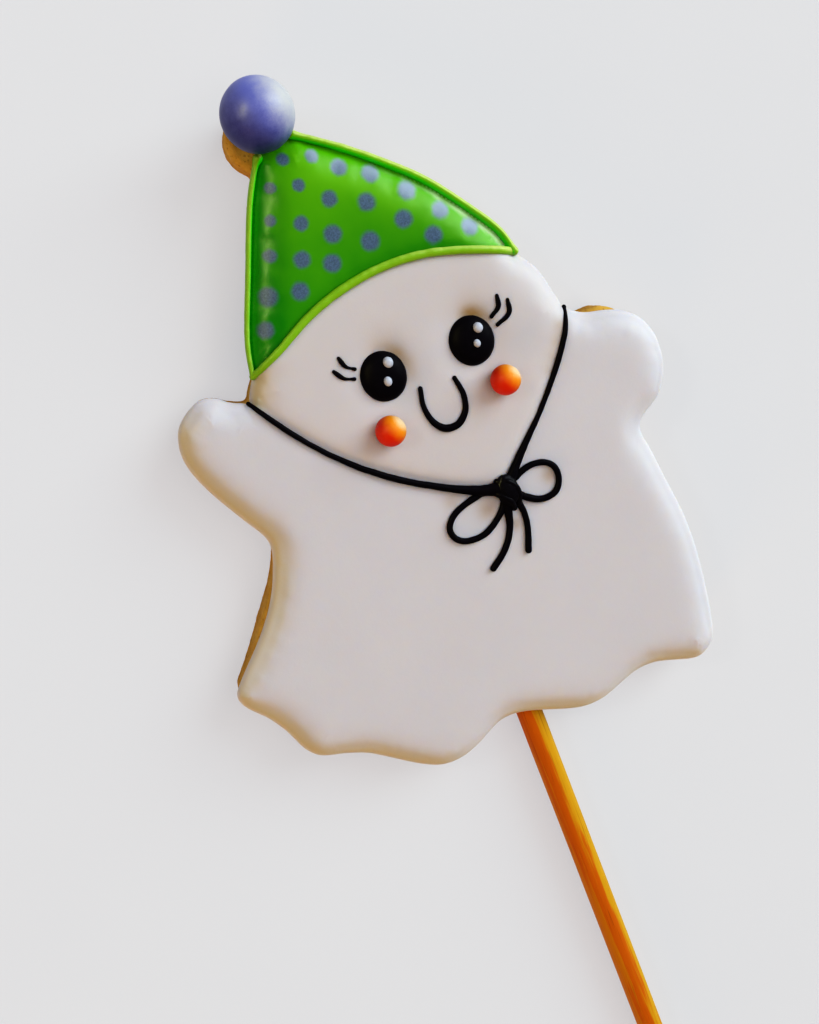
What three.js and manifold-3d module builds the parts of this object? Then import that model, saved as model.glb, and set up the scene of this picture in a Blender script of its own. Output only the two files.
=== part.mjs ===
// Iced sugar cookie pop: a ghost in a spotted party hat, on a round wooden stick.
// Millimetres, +Z up. The cookie lies on its back with the iced side up, the hat points along +Y
// and the stick along -Y. The origin is on the back, in the middle of the body, on the stick's axis.
// Left and right are as seen from above, with the hat at the top.

import * as THREE from "three";
import { mergeVertices } from "three/addons/utils/BufferGeometryUtils.js";
import Module from "manifold-3d";

// ---------------------------------------------------------------- driving dimensions

const COOKIE_THICKNESS = 8;
const COOKIE_EDGE_ROUNDING = 1.3;
const ICING_OVERHANG = 0.45; // how far the icing reaches past the cookie's edge
// Where the cookie reaches further out: the middle of each spot, how much further and how far round.
const BARE_SPOTS = [
  { at: [-39.3, -8.5], extra: 1.2, reach: 8.5 },
  { at: [-28.2, 30.4], extra: 0.55, reach: 3.5 },
  { at: [-14.5, 58], extra: 0.5, reach: 9 },
  { at: [38.6, 20.6], extra: 1.5, reach: 3.4 },
];

const BODY_ICING_HEIGHT = 3;
const HEAD_ICING_HEIGHT = 3.8; // the head is flooded last and stands proud of the body
const HAT_ICING_HEIGHT = 3.3;
const ICING_EDGE_WIDTH = 2; // how far in from its outline the white icing is rounded
const HAT_EDGE_WIDTH = 0.8; // less under the hat's piped lines
const SEAM = 0.3; // clearance between pieces that touch along a curve

const STICK_DIAMETER = 5;
const STICK_LENGTH = 250;
const STICK_INNER_END = -5; // y of the end that is baked into the cookie
const STICK_CHAMFER = 0.4;

const POMPOM_DIAMETER = 12.5;
const POMPOM_CENTRE = [-8.2, 72.1];
const POMPOM_SINK = 0.2; // flat spot where it is stuck down
const BUMP_CENTRE = [-8.5, 69.1]; // round end of the cookie under the pompom
const BUMP_RADIUS = 6;

const STRING_RADIUS = 0.65;
const STRING_LIFT = 0.3; // of its middle above the body's icing
const HAT_LINE_RADIUS = 0.6;
const HAT_LINE_SINK = 1.3; // of its middle below the hat's icing
const BRIM_LINE_RADIUS = 0.65;
const BRIM_LINE_SINK = 0.1; // of its middle below the head's icing
const BOW_RADIUS = 0.55;
const SMILE_RADIUS = 0.5;
const LASH_RADIUS = 0.38;
const KNOT_RADII = [2.2, 3.1, 1.5];
const KNOT_LIFT = 0.8;

const EYE_RADII = [4.4, 4.75, 1.9];
const EYE_CENTRES = { left: [-4.0, 24.3], right: [13.0, 24.2] };
const EYE_SINK = 0.5; // how far the middle of the eye's ellipsoid lies below the face
const GLINTS = {
  left_upper: { eye: "left", at: [1.4, 2.1], radii: [1, 1.1, 0.5] },
  left_lower: { eye: "left", at: [0.15, -0.9], radii: [0.85, 1, 0.5] },
  right_upper: { eye: "right", at: [1.5, 1.85], radii: [1, 1.05, 0.5] },
  right_lower: { eye: "right", at: [0.35, -0.6], radii: [0.75, 0.85, 0.45] },
};
const CHEEK_RADIUS = 2.75;
const CHEEK_SINK = 0.7;
const CHEEK_CENTRES = { left: [-6.7, 15.3], right: [15.7, 15.8] };

// The outline of the icing, in stretches that meet at corners. Each is a smooth curve through its knots.
const RIGHT_ARM = [[31.7, 23.2], [34.8, 20.9], [38.4, 19.9], [42.0, 18.5], [45.2, 15.6], [46.8, 11.0],
  [46.3, 5.9], [43.6, 1.2], [40.2, -0.9]];
const RIGHT_SIDE = [[38.1, -3.0], [38.7, -7.5], [39.8, -15.0], [40.8, -22.0], [41.0, -29.0], [40.4, -37.0],
  [39.5, -43.5]];
const HEM = [[38.2, -47.9], [34.7, -50.1], [30.5, -49.0], [26.0, -47.4], [22.0, -47.2], [18.0, -48.3],
  [14.1, -49.5], [10.0, -49.6], [6.0, -48.4], [2.0, -46.7], [-3.0, -45.0], [-6.7, -45.0], [-10.8, -46.9],
  [-15.2, -48.4], [-19.6, -48.3], [-23.2, -46.5], [-27.8, -43.0], [-32.0, -39.8], [-36.2, -37.9],
  [-40.2, -36.4]];
const LEFT_CORNER = [[-42.3, -33.9], [-43.8, -29.9], [-46.2, -25.5], [-48.9, -22.2], [-49.7, -19.6],
  [-48.0, -17.3]];
const LEFT_SIDE = [[-43.0, -12.4], [-38.2, -6.8], [-35.0, -1.0], [-33.5, 4.4]];
const LEFT_ARM = [[-35.5, 8.7], [-38.4, 14.2], [-40.8, 19.8], [-41.6, 24.5], [-40.3, 28.9], [-37.5, 31.2],
  [-34.8, 32.2], [-31.8, 31.2], [-29.4, 28.9], [-27.5, 28.6]];
const HEAD_LEFT = [[-27.5, 28.6], [-25.0, 32.6]];
const HAT_LEFT = [[-25.0, 32.6], [-23.7, 38.0], [-19.1, 48.8], [-14.0, 60.1], [-10.5, 66.3]];
const HAT_TIP = [[-10.5, 66.3], [-7.0, 67.2], [-3.3, 67.6]]; // hollow, round the pompom
const HAT_RIGHT = [[-3.3, 67.6], [3.5, 63.0], [9.2, 58.5], [15.1, 53.2], [20.3, 46.9], [25.0, 40.0],
  [26.3, 35.8]];
const HEAD_RIGHT = [[26.3, 35.8], [29.5, 31.4], [30.8, 26.9], [31.7, 23.2]];
const BODY_OUTLINE = [...RIGHT_ARM, ...RIGHT_SIDE, ...HEM, ...LEFT_CORNER, ...LEFT_SIDE, ...LEFT_ARM];

// The seams inside the outline. The string lies on the neck seam and a line of icing on the brim.
const NECK = {
  left: [[-27.5, 28.6], [-22.0, 20.2], [-14.6, 11.7], [-8.0, 6.2], [-0.8, 1.5], [4.4, -1.2], [9.5, -2.8]],
  right: [[9.5, -2.8], [15.2, 2.8], [21.8, 9.2], [28.9, 18.0], [31.7, 23.2]],
};
const BRIM = [[-25.0, 32.6], [-20.3, 34.7], [-11.0, 39.2], [-1.0, 41.6], [8.8, 41.5], [17.7, 39.2],
  [26.3, 35.8]];

// Piped lines that lie on the icing.
const KNOT_CENTRE = [9.5, -3.2];
const SMILE = [[1.2, 19.9], [0.6, 16.5], [1.3, 13.4], [3.0, 11.6], [5.4, 11.5], [7.4, 13.3], [8.1, 16.0],
  [7.6, 19.3]];
const LASHES = {
  left_upper: [[-10.3, 30.2], [-9.7, 28.4], [-8.3, 27.4]],
  left_lower: [[-11.9, 28.4], [-10.7, 26.6], [-9.0, 25.8]],
  right_upper: [[19.9, 29.9], [19.5, 28.0], [17.8, 26.8]],
  right_lower: [[21.5, 28.5], [20.9, 26.3], [18.3, 25.1]],
};
const BOW = {
  loop_left: [[8.6, -2.6], [4.4, -2.3], [-0.3, -3.5], [-2.7, -6.0], [-1.2, -9.0], [3.3, -9.4], [7.2, -7.3],
    [8.9, -4.2]],
  loop_right: [[10.2, -2.4], [13.3, -0.9], [16.5, -0.7], [19.4, -2.9], [18.8, -6.2], [15.6, -7.4],
    [12.6, -6.2], [10.2, -3.8]],
  tail_left: [[8.9, -4.4], [8.0, -8.6], [5.7, -12.7], [1.9, -15.7]],
  tail_right: [[10.0, -4.4], [11.3, -9.4], [9.4, -15.0]],
};

// How finely curves are stepped.
const STEPS_PER_KNOT = 2;
const CORNER_CLEARANCE = 2.2; // no point of an outline is nearer to its corners
const LINE_STEP = 4; // along a piped line
const FINE_STEP = 1.8; // along one with tight bends
const LINE_SIDES = 6;
const GLINT_SEGMENTS = 10;
const DOME_SEGMENTS = 16;
const EYE_SEGMENTS = 24;
const POMPOM_SEGMENTS = 22;
const RINGS_PER_SEGMENT = 0.6; // rings of a dome from pole to pole, against its segments round
const STICK_SIDES = 16;
const COOKIE_EDGE_STEPS = 2;
const ICING_EDGE_STEPS = 4;
const MERGE_DISTANCE = 1e-4;

const wasm = await Module();
wasm.setup();

// ---------------------------------------------------------------- materials

const finish = (name, color, roughness) =>
  new THREE.MeshStandardMaterial({ name, color, roughness, metalness: 0 });

const BAKED_COOKIE = finish("baked_cookie", "#b5752b", 0.85);
const WHITE_ICING = finish("white_icing", "#efeae6", 0.5);
const GREEN_ICING = finish("green_icing", "#4b9c12", 0.5);
const LIME_ICING = finish("lime_icing", "#7fc42c", 0.5);
const BLACK_ICING = finish("black_icing", "#0b0a0c", 0.35);
const PURPLE_SUGAR = finish("purple_sugar", "#6567a8", 0.25);
const ORANGE_SUGAR = finish("orange_sugar", "#f08a2e", 0.35);
const WOOD = finish("stick_wood", "#cf8420", 0.65);

// ---------------------------------------------------------------- curves and solids

function curveThrough(knots, z = 0) {
  const points = knots.map(([x, y]) => new THREE.Vector3(x, y, z));
  return new THREE.CatmullRomCurve3(points, false, "centripetal");
}

function pointsThrough(knots) {
  const points = curveThrough(knots).getPoints(STEPS_PER_KNOT * (knots.length - 1));
  return points.map(({ x, y }) => new THREE.Vector2(x, y));
}

// Joins stretches end to end into one closed outline. It drops the point that two stretches share, and those
// so near a corner that the rounding of the edge would fold there.
function closedOutline(...stretches) {
  const corners = stretches.map(([[x, y]]) => new THREE.Vector2(x, y));
  const isClear = (point, corner) => corner.equals(point) || corner.distanceTo(point) > CORNER_CLEARANCE;
  const outline = stretches
    .flatMap((knots) => pointsThrough(knots).slice(0, -1))
    .filter((point) => corners.every((corner) => isClear(point, corner)));
  return THREE.ShapeUtils.isClockWise(outline) ? outline.reverse() : outline;
}

const backwards = (knots) => [...knots].reverse();

// Moves each point of a counter-clockwise outline in (or out, if negative) by the distance given for it.
function inset(outline, distanceAt) {
  return outline.map((point, i) => {
    const before = outline.at(i - 1);
    const after = outline[(i + 1) % outline.length];
    const inward = (from, to) => new THREE.Vector2(from.y - to.y, to.x - from.x).normalize();
    const [n1, n2] = [inward(before, point), inward(point, after)];
    return point.clone().addScaledVector(n1.clone().add(n2), distanceAt(point) / (1 + n1.dot(n2)));
  });
}

function toSolid(geometry) {
  const bare = geometry.clone();
  bare.deleteAttribute("normal");
  bare.deleteAttribute("uv");
  const { index, attributes } = mergeVertices(bare, MERGE_DISTANCE);
  const vertProperties = new Float32Array(attributes.position.array);
  const triVerts = new Uint32Array(index.array);
  return new wasm.Manifold(new wasm.Mesh({ numProp: 3, vertProperties, triVerts }));
}

function toGeometry(solid) {
  const { vertProperties, triVerts } = solid.getMesh();
  const geometry = new THREE.BufferGeometry();
  geometry.setAttribute("position", new THREE.BufferAttribute(vertProperties, 3));
  geometry.setIndex(new THREE.BufferAttribute(triVerts, 1));
  geometry.computeVertexNormals();
  return geometry;
}

const above = (solid, z) => solid.trimByPlane([0, 0, 1], z);

// An outline flooded with icing: flat on top, rounded down to the outline at its edge.
function flooded(outline, base, height, edgeWidth) {
  const geometry = new THREE.ExtrudeGeometry(new THREE.Shape(outline), {
    depth: height,
    bevelEnabled: true,
    bevelThickness: height,
    bevelSize: edgeWidth,
    bevelOffset: -edgeWidth,
    bevelSegments: ICING_EDGE_STEPS,
  });
  geometry.translate(0, 0, base - height);
  return above(toSolid(geometry), base);
}

function ellipsoid([x, y], [rx, ry, rz], z, segments = DOME_SEGMENTS) {
  const geometry = new THREE.SphereGeometry(1, segments, Math.ceil(RINGS_PER_SEGMENT * segments));
  return toSolid(geometry.scale(rx, ry, rz).translate(x, y, z));
}

// A round line along a curve, with ball ends unless they are blunt.
function pipedLine(knots, z, radius, { step = LINE_STEP, blunt = false } = {}) {
  const curve = curveThrough(knots, z);
  const section = new THREE.Shape().absarc(0, 0, radius, 0, 2 * Math.PI);
  const geometry = new THREE.ExtrudeGeometry(section, {
    steps: Math.max(2, Math.round(curve.getLength() / step)),
    curveSegments: LINE_SIDES / 2, // an arc is drawn with twice as many sides
    extrudePath: curve,
  });
  const ends = blunt ? [] : [knots[0], knots.at(-1)];
  const endBall = (end) => ellipsoid(end, [radius, radius, radius], z, LINE_SIDES);
  return ends.reduce((joined, end) => joined.add(endBall(end)), toSolid(geometry));
}

// ---------------------------------------------------------------- levels

const COOKIE_TOP = COOKIE_THICKNESS;
const BODY_TOP = COOKIE_TOP + BODY_ICING_HEIGHT;
const HEAD_TOP = COOKIE_TOP + HEAD_ICING_HEIGHT;
const HAT_TOP = COOKIE_TOP + HAT_ICING_HEIGHT;
const EDGE_LINE_Z = HAT_TOP - HAT_LINE_SINK;
const BRIM_LINE_Z = HEAD_TOP - BRIM_LINE_SINK;
const STRING_Z = BODY_TOP + STRING_LIFT;
const KNOT_Z = BODY_TOP + KNOT_LIFT;

// ---------------------------------------------------------------- pieces

const cookiePop = new THREE.Group();

const stringSolid = (knots, spare) => pipedLine(knots, STRING_Z, STRING_RADIUS + spare);
const brimSolid = (spare) => pipedLine(BRIM, BRIM_LINE_Z, BRIM_LINE_RADIUS + spare);
const hatEdgeSolid = (knots, spare) => pipedLine(knots, EDGE_LINE_Z, HAT_LINE_RADIUS + spare);
const bowSolid = (knots, spare) =>
  pipedLine(knots, BODY_TOP + BOW_RADIUS / 2, BOW_RADIUS + spare, { step: FINE_STEP });
const knotSolid = (spare) => ellipsoid(KNOT_CENTRE, KNOT_RADII.map((radius) => radius + spare), KNOT_Z);

function addPiece(name, solid, material) {
  const mesh = new THREE.Mesh(toGeometry(solid), material);
  mesh.name = name;
  cookiePop.add(mesh);
}

function stickSolid(radius, innerEnd, outerEnd) {
  const half = (innerEnd - outerEnd) / 2;
  const profile = [
    [0, -half],
    [radius - STICK_CHAMFER, -half],
    [radius, STICK_CHAMFER - half],
    [radius, half - STICK_CHAMFER],
    [radius - STICK_CHAMFER, half],
    [0, half],
  ].map(([r, y]) => new THREE.Vector2(r, y));
  const geometry = new THREE.LatheGeometry(profile, STICK_SIDES);
  return toSolid(geometry.translate(0, innerEnd - half, COOKIE_THICKNESS / 2));
}

// How far the cookie reaches past the icing's outline, or stops short of it if negative.
function borderAt(point) {
  const farness = ({ at: [x, y], reach }) => Math.hypot(point.x - x, point.y - y) / reach;
  const extraAt = (spot) => spot.extra * Math.exp(-(farness(spot) ** 2));
  return BARE_SPOTS.reduce((border, spot) => border + extraAt(spot), -ICING_OVERHANG);
}

function addStickAndCookie() {
  const outerEnd = STICK_INNER_END - STICK_LENGTH;
  addPiece("stick", stickSolid(STICK_DIAMETER / 2, STICK_INNER_END, outerEnd), WOOD);

  const iced = closedOutline(BODY_OUTLINE, HEAD_LEFT, HAT_LEFT, HAT_TIP, HAT_RIGHT, HEAD_RIGHT);
  const edge = inset(iced, (point) => -borderAt(point));
  const rounding = {
    depth: COOKIE_THICKNESS - 2 * COOKIE_EDGE_ROUNDING,
    bevelThickness: COOKIE_EDGE_ROUNDING,
    bevelSize: COOKIE_EDGE_ROUNDING,
    bevelOffset: -COOKIE_EDGE_ROUNDING,
    bevelSegments: COOKIE_EDGE_STEPS,
    curveSegments: DOME_SEGMENTS / 2,
  };
  const ghost = new THREE.ExtrudeGeometry(new THREE.Shape(edge), rounding);
  const circle = new THREE.Shape().absarc(...BUMP_CENTRE, BUMP_RADIUS, 0, 2 * Math.PI);
  const bump = new THREE.ExtrudeGeometry(circle, rounding);
  const [slab, roundEnd] = [ghost, bump].map((shape) => toSolid(shape.translate(0, 0, COOKIE_EDGE_ROUNDING)));
  const bore = stickSolid(STICK_DIAMETER / 2 + SEAM, STICK_INNER_END + SEAM, outerEnd);
  addPiece("cookie", slab.add(roundEnd).subtract(bore), BAKED_COOKIE);
}

function addIcing() {
  const necks = Object.values(NECK).map((knots) => stringSolid(knots, SEAM));
  const hatEdges = [HAT_LEFT, HAT_RIGHT].map((knots) => hatEdgeSolid(knots, SEAM));
  const seamPoints = [NECK.left, NECK.right, BRIM].flatMap(pointsThrough);
  const isOnSeam = (point) => seamPoints.some((other) => other.distanceTo(point) < MERGE_DISTANCE);
  const addSection = (name, outline, height, edgeWidth, cutters, material) => {
    const trimmed = inset(outline, (point) => (isOnSeam(point) ? SEAM / 2 : 0));
    const whole = flooded(trimmed, COOKIE_TOP, height, edgeWidth);
    addPiece(name, cutters.reduce((rest, cutter) => rest.subtract(cutter), whole), material);
  };

  const body = closedOutline(BODY_OUTLINE, NECK.left, NECK.right);
  addSection("icing_body", body, BODY_ICING_HEIGHT, ICING_EDGE_WIDTH, necks, WHITE_ICING);
  const head = closedOutline(HEAD_LEFT, BRIM, HEAD_RIGHT, backwards(NECK.right), backwards(NECK.left));
  const headCutters = [...necks, brimSolid(SEAM), knotSolid(SEAM)];
  addSection("icing_head", head, HEAD_ICING_HEIGHT, ICING_EDGE_WIDTH, headCutters, WHITE_ICING);
  const hat = closedOutline(HAT_LEFT, HAT_TIP, HAT_RIGHT, backwards(BRIM));
  const hatCutters = [...hatEdges, brimSolid(SEAM)];
  addSection("icing_hat", hat, HAT_ICING_HEIGHT, HAT_EDGE_WIDTH, hatCutters, GREEN_ICING);
}

function addHatLines() {
  addPiece("hat_line_brim", brimSolid(0), LIME_ICING);
  addPiece("hat_line_left", hatEdgeSolid(HAT_LEFT, 0).subtract(brimSolid(SEAM)), LIME_ICING);
  addPiece("hat_line_right", hatEdgeSolid(HAT_RIGHT, 0).subtract(brimSolid(SEAM)), LIME_ICING);
}

function addPompom() {
  const radius = POMPOM_DIAMETER / 2;
  const level = COOKIE_TOP + radius - POMPOM_SINK;
  const ball = ellipsoid(POMPOM_CENTRE, [radius, radius, radius], level, POMPOM_SEGMENTS);
  addPiece("pompom", above(ball, COOKIE_TOP), PURPLE_SUGAR);
}

function addEyes() {
  const level = HEAD_TOP - EYE_SINK;
  for (const [side, centre] of Object.entries(EYE_CENTRES)) {
    const eye = ellipsoid(centre, EYE_RADII, level, EYE_SEGMENTS);
    addPiece(`eye_${side}`, above(eye, HEAD_TOP), BLACK_ICING);
  }
  for (const [name, { eye, at, radii }] of Object.entries(GLINTS)) {
    // A glint is a flat-bottomed drop at the height of the eye under its inner side.
    const innerSide = Math.max(0, Math.hypot(...at) - radii[0]) / EYE_RADII[0];
    const height = level + EYE_RADII[2] * Math.sqrt(1 - innerSide ** 2);
    const centre = at.map((offset, axis) => EYE_CENTRES[eye][axis] + offset);
    const glint = ellipsoid(centre, radii, height, GLINT_SEGMENTS);
    addPiece(`glint_${name}`, above(glint, height), WHITE_ICING);
  }
}

function addFace() {
  const cheekRadii = [CHEEK_RADIUS, CHEEK_RADIUS, CHEEK_RADIUS];
  for (const [side, centre] of Object.entries(CHEEK_CENTRES)) {
    const ball = ellipsoid(centre, cheekRadii, HEAD_TOP + CHEEK_RADIUS - CHEEK_SINK);
    addPiece(`cheek_${side}`, above(ball, HEAD_TOP), ORANGE_SUGAR);
  }
  for (const [name, knots] of Object.entries(LASHES)) {
    const middle = HEAD_TOP + LASH_RADIUS / 2;
    const lash = pipedLine(knots, middle, LASH_RADIUS, { step: FINE_STEP, blunt: true });
    addPiece(`lash_${name}`, above(lash, HEAD_TOP), BLACK_ICING);
  }
  const smile = pipedLine(SMILE, HEAD_TOP + SMILE_RADIUS / 2, SMILE_RADIUS, { step: FINE_STEP });
  addPiece("smile", above(smile, HEAD_TOP), BLACK_ICING);
}

// The string round the neck meets at a knot. The loops and tails of its bow leave the knot and lie on the
// body, each clear of the lines piped before it.
function addStringAndBow() {
  addPiece("bow_knot", above(knotSolid(0), BODY_TOP), BLACK_ICING);
  for (const [side, knots] of Object.entries(NECK)) {
    addPiece(`string_${side}`, stringSolid(knots, 0).subtract(knotSolid(SEAM)), BLACK_ICING);
  }
  const inTheWay = [knotSolid(SEAM), ...Object.values(NECK).map((knots) => stringSolid(knots, SEAM))];
  for (const [name, knots] of Object.entries(BOW)) {
    const bowLine = above(bowSolid(knots, 0), BODY_TOP);
    addPiece(`bow_${name}`, inTheWay.reduce((rest, other) => rest.subtract(other), bowLine), BLACK_ICING);
    inTheWay.push(bowSolid(knots, SEAM));
  }
}

addStickAndCookie();
addIcing();
addHatLines();
addPompom();
addEyes();
addFace();
addStringAndBow();

export default cookiePop;
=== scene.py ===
"""An iced sugar cookie pop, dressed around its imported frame: a ghost in a spotted party hat on a round stick.

The frame gives every outline, level and thickness. Lengths are worked out in millimetres and become metres
when a mesh is made. The cookie lies on its back: the hat points along +Y and the stick along -Y.
"""

import math

import bmesh
import bpy
import numpy as np
from mathutils import Matrix, Vector, geometry, noise
from mathutils.bvhtree import BVHTree


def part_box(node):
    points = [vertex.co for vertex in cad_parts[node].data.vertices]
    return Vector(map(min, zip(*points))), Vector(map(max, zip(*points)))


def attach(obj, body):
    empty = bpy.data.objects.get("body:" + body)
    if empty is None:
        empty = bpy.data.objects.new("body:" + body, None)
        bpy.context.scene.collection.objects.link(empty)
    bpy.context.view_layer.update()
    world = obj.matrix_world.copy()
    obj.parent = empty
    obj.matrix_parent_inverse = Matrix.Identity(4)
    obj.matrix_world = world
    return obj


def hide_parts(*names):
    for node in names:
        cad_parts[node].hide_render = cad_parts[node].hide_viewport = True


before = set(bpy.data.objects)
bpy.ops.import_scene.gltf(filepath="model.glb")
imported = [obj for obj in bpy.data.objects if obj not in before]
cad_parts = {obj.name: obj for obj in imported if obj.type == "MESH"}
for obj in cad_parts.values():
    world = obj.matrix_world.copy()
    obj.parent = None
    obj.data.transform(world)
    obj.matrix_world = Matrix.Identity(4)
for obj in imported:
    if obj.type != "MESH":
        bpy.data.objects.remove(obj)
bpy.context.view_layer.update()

MM = 0.001

# ---------- levels, read from the frame


def node_box(node):
    """The lowest and highest corner of a node, in mm."""
    low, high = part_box(node)
    return np.array(low) / MM, np.array(high) / MM


def middle_of(node):
    low, high = node_box(node)
    return (low + high) / 2


def node_halves(node):
    low, high = node_box(node)
    return (high - low) / 2


COOKIE_TOP = node_box("cookie")[1][2]
BODY_TOP = node_box("icing_body")[1][2]
HEAD_TOP = node_box("icing_head")[1][2]
HAT_TOP = node_box("icing_hat")[1][2]
COOKIE_EDGE = 1.3  # radius of the cookie's rounded edges
ICING_FOOT = COOKIE_TOP - 0.75  # the icing runs down over the rounded edge to here

# ---------- routes of the piped lines

NECK_LEFT = [(-27.5, 28.6), (-22.0, 20.2), (-14.6, 11.7), (-8.0, 6.2), (-0.8, 1.5), (4.4, -1.2), (9.5, -2.8)]
NECK_RIGHT = [(9.5, -2.8), (15.2, 2.8), (21.8, 9.2), (28.9, 18.0), (31.7, 23.2)]
BRIM = [(-25.0, 32.6), (-20.3, 34.7), (-11.0, 39.2), (-1.0, 41.6), (8.8, 41.5), (17.7, 39.2), (26.3, 35.8)]
HAT_LEFT = [(-25.0, 32.6), (-23.7, 38.0), (-19.1, 48.8), (-14.0, 60.1), (-10.9, 65.2), (-10.2, 66.0)]
HAT_RIGHT = [(-3.3, 67.6), (3.5, 63.0), (9.2, 58.5), (15.1, 53.2), (20.3, 46.9), (25.0, 40.0), (26.3, 35.8)]
SMILE = [
    (1.2, 19.9), (0.6, 16.5), (1.3, 13.4), (3.0, 11.6), (5.4, 11.5), (7.4, 13.3), (8.1, 16.0), (7.6, 19.3),
]
LASHES = {
    "left_upper": [(-10.3, 30.2), (-9.7, 28.4), (-8.3, 27.4)],
    "left_lower": [(-11.9, 28.4), (-10.7, 26.6), (-9.0, 25.8)],
    "right_upper": [(19.9, 29.9), (19.5, 28.0), (17.8, 26.8)],
    "right_lower": [(21.5, 28.5), (20.9, 26.3), (18.3, 25.1)],
}
BOW = {
    "loop_left": [
        (8.6, -3.0), (5.3, -2.2), (1.2, -2.8), (-1.5, -4.0), (-2.8, -5.8), (-2.5, -7.8), (-0.6, -9.2),
        (2.8, -9.3), (5.8, -7.8), (7.6, -6.2), (8.6, -4.6),
    ],
    "loop_right": [
        (10.6, -2.4), (14.5, -0.9), (17.3, -1.1), (19.2, -2.6), (19.4, -5.0), (18.0, -7.2), (14.9, -7.4),
        (12.3, -5.8), (10.6, -3.8),
    ],
    "tail_left": [(8.9, -4.4), (8.4, -7.0), (7.7, -9.8), (6.4, -12.2), (4.6, -14.1), (2.1, -15.9)],
    "tail_right": [(10.0, -4.4), (10.8, -6.5), (11.1, -9.0), (10.7, -11.7), (9.4, -15.4)],
}
KNOT_WRAPS = [
    [(8.2, -1.1, 11.8), (9.8, -1.5, 12.5), (10.9, -2.8, 12.5), (11.2, -4.6, 12.2), (10.7, -6.3, 11.6)],
    [(7.0, -2.6, 11.7), (8.1, -3.7, 12.5), (9.3, -5.2, 12.5), (9.6, -6.8, 11.6)],
]

# How thick each line is piped: its half widths, evenly spread along it.
PIPING = {
    "hat_line_left": [0.46, 0.5, 0.52, 0.52],
    "hat_line_right": [0.66, 0.72, 0.74, 0.72, 0.7, 0.68],
    "hat_line_brim": [0.6, 0.72, 0.78, 0.74, 0.72, 0.74],
    "string_left": [0.38, 0.5, 0.45, 0.53, 0.6, 0.58, 0.8, 1.3],
    "string_right": [1.1, 0.76, 0.56, 0.46, 0.5, 0.53, 0.5, 0.4],
    "smile": [0.42, 0.46, 0.54, 0.66, 0.66, 0.56, 0.5, 0.42],
    "lash_left": [0.3, 0.42, 0.42, 0.3, 0.22, 0.34],
    "lash_right": [0.32, 0.44, 0.46, 0.42, 0.36, 0.36],
    "bow_loop_left": [0.98, 0.66, 0.56, 0.58, 0.58, 0.58, 0.58, 0.64],
    "bow_loop_right": [0.66, 0.58, 0.57, 0.57, 0.6, 0.64, 0.7],
    "bow_tail_left": [1.0, 0.76, 0.62, 0.6, 0.6, 0.62],
    "bow_tail_right": [0.92, 0.62, 0.57, 0.58, 0.62],
}

# Rows of spots sprayed on the hat, from its tip to its brim: the middle and the radius of each.
SPOT_ROWS = [
    [(-6.5, 64.4, 1.1), (-1.7, 63.2, 1.2), (1.9, 59.9, 1.5), (6.7, 57.1, 1.6), (11.6, 52.3, 1.7),
     (15.9, 47.2, 1.6), (19.9, 42.7, 1.6)],
    [(-10.3, 60.8, 1.0), (-5.7, 59.5, 1.1), (-1.7, 55.6, 1.4), (4.1, 52.9, 1.6), (9.1, 48.0, 1.6),
     (13.1, 43.7, 1.6)],
    [(-12.3, 55.8, 1.0), (-7.7, 53.5, 1.3), (-3.3, 50.0, 1.6), (2.3, 46.6, 1.7)],
    [(-14.6, 50.4, 1.2), (-9.8, 47.9, 1.5), (-5.2, 45.5, 1.6)],
    [(-17.5, 44.2, 1.7), (-12.1, 43.1, 1.6)],
    [(-20.0, 39.2, 1.5)],
]

# Soft patches of painted shade on the white icing, in the bow's loops, along the string and over the eyes:
# the middle, the radius and the strength of each.
SHADE_PATCHES = [
    (-1.5, 29.8, 3.0, 0.12), (15.0, 30.2, 3.0, 0.14),
    (17.9, -3.9, 1.4, 0.42), (5.0, -5.4, 1.8, 0.42), (8.8, -9.9, 1.1, 0.42), (-0.6, -1.4, 1.6, 0.28),
    (29.2, 20.4, 1.5, 0.34), (27.6, 18.1, 1.4, 0.32), (26.0, 15.9, 1.3, 0.26), (24.6, 14.0, 1.2, 0.22),
]
# More patches of painted shade round the rim of each eye: bearings and strengths.
SHADE_RIMS = {
    "left": [(79, 0.15), (54, 0.3), (34, 0.55), (9, 0.4), (-16, 0.25)],
    "right": [(82, 0.5), (64, 0.55), (45, 0.42), (28, 0.28)],
}
SHADE_RIM_GAP = 0.3  # how far outside the eye's rim they lie
SHADE_RIM_REACH = 1.35

# ---------- curves


def spaced(points, spacing):
    """The same line with its points an even distance apart."""
    lengths = np.concatenate([[0.0], np.cumsum(np.linalg.norm(np.diff(points, axis=0), axis=1))])
    count = max(2, round(lengths[-1] / spacing) + 1)
    stations = np.linspace(0.0, lengths[-1], count)
    return np.stack([np.interp(stations, lengths, axis) for axis in points.T], axis=1)


FINE_SPACING = 0.3  # between the points of a seam, and of an outline before it is spaced out
CURVE_STEPS = 24  # drawn between two knots before a curve is spaced out


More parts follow.
